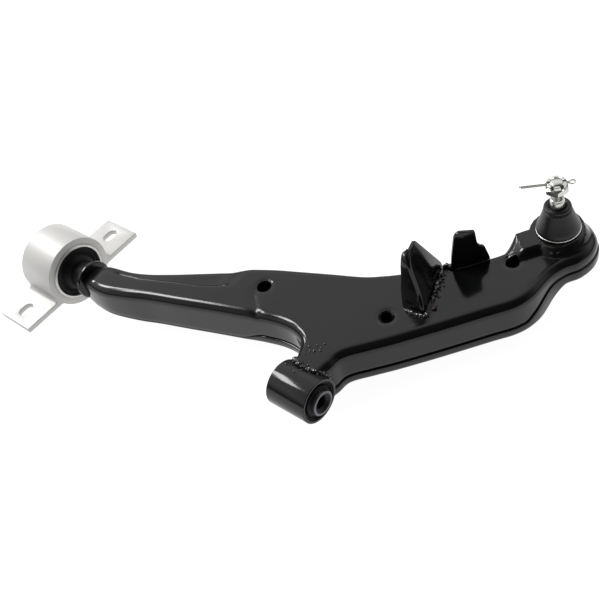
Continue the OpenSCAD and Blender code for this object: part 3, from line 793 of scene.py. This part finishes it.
PIN_DIR = math.radians(125)
NUT_Z, CROWN_Z, NUT_TOP = 84.5, 90.8, 95.3
nut = hexagon("slotted_nut", 22, NUT_Z, CROWN_Z, 6.85, ZINC, PIN_DIR + math.pi / 6)
crown = lathe("crown", rounded([(6.9, CROWN_Z - 1.5), (10.0, CROWN_Z - 1.5), (10.0, NUT_TOP),
                                (6.9, NUT_TOP)], [0, 0, 0.9, 0.5]), ZINC, turns=72)
cut(nut, crown, "UNION")
for k in range(3):
    a = PIN_DIR + k * math.pi / 3
    c, s_ = math.cos(a), math.sin(a)
    box = []
    for z in (CROWN_Z + 0.3, NUT_TOP + 3):
        for u, v in ((-16, -1.9), (16, -1.9), (16, 1.9), (-16, 1.9)):
            box.append((u * c - v * s_, u * s_ + v * c, z))
    cut(nut, new_object("slot_box", box, [(3, 2, 1, 0), (4, 5, 6, 7), (0, 1, 5, 4), (1, 2, 6, 5),
                                          (2, 3, 7, 6), (3, 0, 4, 7)], ZINC))
nut.data.transform(Matrix.Translation((bx * MM, by * MM, 0)))
soften_edges(nut, 0.35, 2, 35)

PIN_Z = CROWN_Z + 2.2
WIRE_R, LEG_GAP = 0.8, 0.78
LEG_LONG, LEG_SHORT, LOOP_START, LOOP_MID = 36.8, 35.0, -11.6, -15.4
upper_leg = [(x, 0.0, LEG_GAP) for x in np.linspace(LEG_LONG, LOOP_START, 22)]
loop = [(LOOP_MID + 2.9 * math.cos(a), 0.0, 2.5 * math.sin(a))
        for a in np.linspace(math.radians(38), math.radians(322), 26)]
lower_leg = [(x, 0.0, -LEG_GAP) for x in np.linspace(LOOP_START, LEG_SHORT, 22)]
c, s_ = math.cos(PIN_DIR), math.sin(PIN_DIR)
path = [(bx + x * c, by + x * s_, PIN_Z + z) for x, _, z in
        spline(upper_leg[::3] + loop[::2] + lower_leg[::3], 4)]
split = sweep("cotter", path, WIRE_R, ZINC, 12)

boot_profile = rounded(
    [(21.1, 30.2), (22.6, 30.2), (22.6, 31.0), (21.8, 31.1), (21.8, 33.7), (22.9, 34.1),
     (23.0, 35.5), (22.2, 38.2), (20.2, 43.0), (18.4, 47.6), (16.9, 52.0), (15.4, 56.5),
     (14.7, 59.2), (13.3, 59.4), (13.3, 61.1), (14.3, 61.3), (14.1, 63.2), (12.9, 64.5),
     (10.6, 64.3), (8.9, 63.2), (8.3, 61.6), (11.2, 58.8), (13.4, 55.4), (15.1, 50.5),
     (17.2, 45.0), (19.0, 40.5), (20.9, 36.2), (21.1, 33.0)], 0.8, 4)
boot = lathe("boot", boot_profile, BOOT, ball_at, turns=112, sharp=180)
SPLIT_Z = 47.0 * MM                # where the boot's two blended halves meet


def half_of(whole, name, keep):
    """Copy of a mesh's faces on one side of the split, with the whole mesh's shading."""
    mesh = whole.data
    co = np.array([v.co for v in mesh.vertices])
    no = np.array([v.normal for v in mesh.vertices])
    faces = [tuple(p.vertices) for p in mesh.polygons if keep(np.mean(co[list(p.vertices), 2]))]
    used = sorted({i for f in faces for i in f})
    index = {v: k for k, v in enumerate(used)}
    part = new_object(name, co[used] / MM, [tuple(index[i] for i in f) for f in faces], BOOT)
    part.data.normals_split_custom_set_from_vertices([tuple(v) for v in no[used]])
    return part


boot_low = half_of(boot, "boot_lower_half", lambda z: z < SPLIT_Z)
boot_high = half_of(boot, "boot_upper_half", lambda z: z >= SPLIT_Z)
bpy.data.objects.remove(boot)
foot_ring = lathe("boot_foot_ring", [(22.75 + 0.75 * math.cos(a), 32.4 + 1.1 * math.sin(a))
                                     for a in np.linspace(0, 2 * math.pi, 15)[:-1]],
                  ZINC, ball_at, turns=112, sharp=180)
neck_ring = lathe("boot_neck_ring", [(14.0 + 0.65 * math.cos(a), 60.25 + 0.7 * math.sin(a))
                                     for a in np.linspace(0, 2 * math.pi, 13)[:-1]],
                  BOOT, ball_at, turns=80, sharp=180)

# ---------------------------------------------------------------- link bracket
FIN_AT = Vector((133, -65, 20))
FIN_DIR, FIN_LEAN = math.radians(19), math.radians(14)
fin_matrix = (Matrix.Translation(FIN_AT) @ Matrix.Rotation(FIN_DIR, 4, "Z")
              @ Matrix.Rotation(math.pi / 2 - FIN_LEAN, 4, "X"))


def plate(name, outline_2d, thick, matrix, bevel=0.9):
    """Flat plate from a profile of (along, up); its thickness runs backwards."""
    m = len(outline_2d)
    verts = [matrix @ Vector((x, y, 0)) for x, y in outline_2d]
    verts += [matrix @ Vector((x, y, -thick)) for x, y in outline_2d]
    faces = [tuple(range(m)), tuple(range(m, 2 * m))[::-1]]
    faces += [((k + 1) % m, k, k + m, (k + 1) % m + m) for k in range(m)]
    return soften_edges(new_object(name, verts, faces, PAINT), bevel, 3, 50, 50)


edge = spline([(0, -0.6), (3, 8), (8.5, 20), (12, 36), (15, 51), (20.5, 60), (30, 63.8)], 6)
fin_outline = ([(p[0] + 4.6, p[1] - (0.8 if p[1] > 55 else 0)) for p in edge[:-3]]
               + [tuple(p) for p in rounded([(29, 63.6), (46, 61.8), (70.5, 6), (71, -0.6)], 2.0, 4,
                                            closed=False)])
fin = plate("link_fin_plate", fin_outline, 4.0, fin_matrix, 0.8)


def flange():
    """Edge of the fin bent backwards: an L section drawn out along the fin's inboard edge."""
    n = len(edge)
    rows = []
    back = Vector((-0.06, 1.0, 0.0)).normalized()
    for i, p in enumerate(edge):
        a, b = edge[max(i - 1, 0)], edge[min(i + 1, n - 1)]
        d = (b - a) / np.linalg.norm(b - a)
        inward = np.array([d[1], -d[0]])
        h = i / (n - 1)
        width = np.interp(p[1], (0, 20, 38, 54, 64), (28, 24, 17, 11.5, 8.5))
        width *= 1 - 0.45 * smooth((h - 0.9) / 0.1)
        thick, bend = 3.4, 4.5
        section_pts = [(11, 0.15), (bend, 0.0)]
        section_pts += [(bend * (1 - math.sin(t)), bend * (1 - math.cos(t)))
                        for t in np.linspace(0, math.pi / 2, 7)[1:]]
        section_pts += [(0, width - 0.9), (0.5, width - 0.2), (1.2, width),
                        (thick - 1.0, width), (thick - 0.3, width - 0.3), (thick, width - 1.0),
                        (thick, bend + 1.5)]
        section_pts += [(thick + 1.5 * (1 - math.cos(t)), bend + 1.5 - 1.5 * math.sin(t))
                        for t in np.linspace(0, math.pi / 2, 5)[1:]]
        section_pts += [(11, bend - 0.4)]
        row = []
        for u, v in section_pts:
            q = p + inward * u
            row.append(fin_matrix @ Vector((q[0], q[1], 0)) + back * v)
        rows.append(row)
    m = len(rows[0])
    verts = [q for row in rows for q in row]
    faces = []
    for i in range(n - 1):
        for k in range(m):
            l = (k + 1) % m
            faces.append((i * m + k, i * m + l, (i + 1) * m + l, (i + 1) * m + k))
    faces.append(tuple(range(m))[::-1])
    faces.append(tuple((n - 1) * m + k for k in range(m)))
    obj = new_object("link_fin_edge", verts, faces, PAINT)
    mend(obj)
    obj.data.set_sharp_from_angle(angle=math.radians(50))
    return obj


fin_edge = flange()
tab_matrix = (Matrix.Translation((202, -58, 20)) @ Matrix.Rotation(math.radians(-39.5), 4, "Z")
              @ Matrix.Rotation(math.pi / 2, 4, "X"))
tab_outline = [tuple(p) for p in rounded(
    [(-5, -0.5), (-4, 14), (2, 44), (4.5, 48), (8, 50), (24.6, 45), (25.6, 27), (29, 22.5),
     (33, 20), (36.8, 4), (37, -0.5)], [0, 8, 5, 3, 3, 1.5, 3, 3, 2, 2, 0], 4)]
tab = plate("link_tab_plate", tab_outline, 4.0, tab_matrix, 0.7)

# ---------------------------------------------------------------- weld beads and spatter
rng = np.random.default_rng(7)


def bead(name, points, radius, seed, steps=10, lumps=0.45):
    """Weld bead along a curve, rippled along its length and thin at its ends."""
    path = spline(points, steps)
    n = len(path)
    ends = np.minimum(np.arange(n), np.arange(n)[::-1]) / 6.0
    ripple = 1 + 0.10 * np.sin(np.arange(n) * 1.9)
    radii = radius * (0.35 + 0.65 * smooth(ends)) * ripple
    return sweep(name, [tuple(p) for p in path], radii, BEAD, 14, lumps, seed)


beads = [
    bead("weld_eye_front", [(17.5, -20.6, -18), (21.5, -21, -12), (24.4, -20.6, -3),
                            (24.4, -20, 6), (22.5, -18.2, 12.5), (19.8, -14, 17.2),
                            (17.2, -8, 19.6), (15.8, 0, 20.2)], 2.6, 1.0, 12),
    bead("weld_eye_rear", [(15.6, 1, 20.6), (15.8, 8, 20.4), (17.2, 14.5, 19), (20.2, 19.5, 15.6),
                           (23, 22.6, 10), (24.6, 23.4, 2), (23.4, 23, -9), (19, 22, -17)],
         3.4, 4.0, 12, 0.6),
    bead("weld_fin_foot", [(128.6, -42, 20.3), (128.4, -52, 20.3), (129.2, -62, 20.4),
                           (131.5, -66.8, 20.6), (137, -66.4, 20.8)], 2.5, 7.0, 10),
    bead("weld_fin_face", [(150, -61.5, 20.6), (160, -58, 20.8), (171, -54, 21),
                           (183, -49.8, 21), (195, -45.5, 21)], 2.5, 9.0, 10, 0.7),
    bead("weld_fin_end", [(196, -44.5, 21), (199.5, -46.5, 21.5), (201, -52, 21.5),
                          (200.5, -57, 21)], 2.6, 12.0, 10, 0.6),
    bead("weld_tab_foot", [(199, -57, 20.4), (208, -64.6, 20.3), (218, -72.8, 20.3),
                           (229, -81.8, 20.2)], 1.5, 15.0, 10, 0.35),
]
rust = sweep("weld_tack", [tuple(p) for p in spline([(141, -67.5, 20), (144.5, -68.6, 20.8),
                                                    (148.5, -67.4, 20.2)], 8)],
             [2.2 * math.sin(math.pi * (k + 1) / 18) + 0.4 for k in range(17)], RUST, 14,
             0.8, 21.0)


def spatter(name, centres, low, high, material):
    """Small round droplets of weld metal lying on the surface."""
    verts, faces = [], []
    for c in centres:
        r = rng.uniform(low, high)
        rows, cols = 7, 10
        start = len(verts)
        for i in range(rows):
            t = math.pi * (i + 0.5) / rows
            for k in range(cols):
                a = 2 * math.pi * k / cols
                verts.append((c[0] + r * math.sin(t) * math.cos(a),
                              c[1] + r * math.sin(t) * math.sin(a),
                              c[2] + 0.8 * r * math.cos(t)))
        for i in range(rows - 1):
            for k in range(cols):
                l = (k + 1) % cols
                faces.append((start + i * cols + k, start + (i + 1) * cols + k,
                              start + (i + 1) * cols + l, start + i * cols + l))
        faces.append(tuple(start + k for k in range(cols)))
        faces.append(tuple(start + (rows - 1) * cols + k for k in range(cols))[::-1])
    return new_object(name, verts, faces, material)


drops = []
for k in range(34):
    a = rng.uniform(-0.2, 1.35)
    y = rng.uniform(-17, 24)
    if k % 2:
        drops.append((25.1 * math.cos(1.35 - 0.5 * a), y * 0.7 + 6,
                      25.1 * math.sin(1.35 - 0.5 * a)))
    else:
        drops.append((rng.uniform(19, 52), rng.uniform(-2, 22), 0))
ON_TOP = [(x, y, 20.1 - max(0.0, (y - 13.5) * 0.8) * (x < 40)) if z == 0 else (x, y, z)
          for x, y, z in drops]
eye_drops = spatter("weld_spatter_eye", ON_TOP, 0.5, 1.6, BEAD)
foot = [(148 + 48 * t + rng.normal(0, 1.5), -64 + 17 * t - abs(rng.normal(0, 3.5)), 20.3)
        for t in rng.uniform(0, 1, 26)]
link_drops = spatter("weld_spatter_link", foot, 0.4, 1.3, BEAD)

# ---------------------------------------------------------------- who moves with what
on_arm = [(upper, "upper_shell"), (lower, "lower_shell"), (eye, "front_eye"),
          (cup, "front_outer_sleeve"), (front_rubber, "front_rubber"),
          (pivot_pin, "rear_pivot_pin"), (rear_sleeve, "rear_inner_sleeve"),
          (rear_washer, "rear_washer"), (rear_nut, "rear_nut"), (fin, "link_fin"),
          (tab, "link_tab"), (socket, "ball_socket"), (bearing, "ball_bearing_shell"),
          (cover, "ball_cover"), (foot_ring, "boot_lower_ring")]
for obj, node in on_arm:
    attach(obj, "arm")
    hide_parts(node)
for obj in beads + [rust, eye_drops, link_drops, fin_edge]:
    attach(obj, "arm")
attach(front_sleeve, "front_sleeve")
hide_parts("front_inner_sleeve")
for obj, node in ((bracket, "rear_bracket"), (rear_cup, "rear_outer_sleeve"),
                  (rear_rubber, "rear_rubber")):
    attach(obj, "rear_mount")
    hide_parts(node)
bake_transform(boot_low)
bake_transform(boot_high)
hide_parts("dust_boot")
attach(neck_ring, "boot_collar")
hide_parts("boot_upper_ring")
for obj, node in ((stud, "ball_stud"), (nut, "castle_nut"), (split, "split_pin")):
    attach(obj, "stud")
    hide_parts(node)

# ---------------------------------------------------------------- studio
FLOOR_LEVEL = -0.0445
bpy.ops.mesh.primitive_plane_add(size=24, location=(0, 0, FLOOR_LEVEL))
floor = bpy.context.object
floor.name = "studio_floor"
floor_material = bpy.data.materials.new("studio_floor")
floor_material.use_nodes = True
nodes, links = floor_material.node_tree.nodes, floor_material.node_tree.links
bsdf = nodes["Principled BSDF"]
bsdf.inputs["Roughness"].default_value = 1.0
bsdf.inputs["Specular IOR Level"].default_value = 0.0
grain = nodes.new("ShaderNodeTexNoise")
grain.inputs["Scale"].default_value = 3.0
tone = nodes.new("ShaderNodeMapRange")
tone.inputs["To Min"].default_value = 0.24
tone.inputs["To Max"].default_value = 0.26
links.new(grain.outputs["Fac"], tone.inputs["Value"])
links.new(tone.outputs["Result"], bsdf.inputs["Base Color"])
bsdf.inputs["Emission Color"].default_value = (1, 1, 1, 1)
bsdf.inputs["Emission Strength"].default_value = 0.96
floor.data.materials.append(floor_material)

world = bpy.data.worlds.new("studio")
bpy.context.scene.world = world
world.use_nodes = True
nodes, links = world.node_tree.nodes, world.node_tree.links
background = nodes["Background"]
where = nodes.new("ShaderNodeTexCoord")
dot = nodes.new("ShaderNodeVectorMath")
dot.operation = "DOT_PRODUCT"
dot.inputs[1].default_value = (-0.42, -0.57, 0.71)
links.new(where.outputs["Generated"], dot.inputs[0])
ramp = nodes.new("ShaderNodeMapRange")
ramp.interpolation_type = "SMOOTHSTEP"
ramp.inputs["From Min"].default_value = 0.25
ramp.inputs["From Max"].default_value = 0.85
ramp.inputs["To Min"].default_value = 1.15
ramp.inputs["To Max"].default_value = 0.05
links.new(dot.outputs["Value"], ramp.inputs["Value"])
axes = nodes.new("ShaderNodeSeparateXYZ")
links.new(where.outputs["Generated"], axes.inputs["Vector"])
height = nodes.new("ShaderNodeMapRange")
height.interpolation_type = "SMOOTHSTEP"
height.inputs["From Min"].default_value = 0.02
height.inputs["From Max"].default_value = 0.55
height.inputs["To Min"].default_value = 0.10
height.inputs["To Max"].default_value = 1.0
links.new(axes.outputs["Z"], height.inputs["Value"])
both_ways = nodes.new("ShaderNodeMath")
both_ways.operation = "MULTIPLY"
links.new(ramp.outputs["Result"], both_ways.inputs[0])
links.new(height.outputs["Result"], both_ways.inputs[1])
links.new(both_ways.outputs["Value"], background.inputs["Strength"])
background.inputs["Color"].default_value = (1, 1, 1, 1)

TARGET = Vector((0.15, 0.1, 0.0))


def softbox(name, direction, distance, width, height, power):
    """Rectangular light that faces the part from a direction."""
    d = Vector(direction).normalized()
    light = bpy.data.lights.new(name, "AREA")
    light.shape = "RECTANGLE"
    light.size, light.size_y = width, height
    light.energy = power
    obj = bpy.data.objects.new(name, light)
    bpy.context.collection.objects.link(obj)
    obj.location = TARGET + d * distance
    obj.rotation_euler = d.to_track_quat("Z", "Y").to_euler()


softbox("key", (-0.2, 0.555, 0.81), 2.2, 0.8, 0.34, 16)
softbox("back", (-0.06, 0.72, 0.69), 2.4, 0.8, 0.3, 14)
softbox("low_back", (0.0, 0.9, 0.44), 2.4, 0.5, 0.34, 9)

# ---------------------------------------------------------------- camera
AZIMUTH, ELEVATION, ROLL = map(math.radians, (-36.43, 45.09, -18.78))
DISTANCE, SHIFT_RIGHT, SHIFT_UP, LENS = 0.94951, -0.00072, 0.09304, 55.9
back = Vector((math.sin(AZIMUTH) * math.cos(ELEVATION),
               -math.cos(AZIMUTH) * math.cos(ELEVATION), math.sin(ELEVATION)))
across = Vector((math.cos(AZIMUTH), math.sin(AZIMUTH), 0))
over = back.cross(across)
across, over = (across * math.cos(ROLL) + over * math.sin(ROLL),
                over * math.cos(ROLL) - across * math.sin(ROLL))
camera = bpy.data.objects.new("camera", bpy.data.cameras.new("camera"))
bpy.context.collection.objects.link(camera)
camera.data.lens = LENS
camera.data.sensor_width = 36.0
turn = Matrix((across, over, back)).transposed()
camera.matrix_world = (Matrix.Translation(across * SHIFT_RIGHT + over * SHIFT_UP + back * DISTANCE)
                       @ turn.to_4x4())
bpy.context.scene.camera = camera
bpy.context.scene.view_settings.view_transform = "Standard"
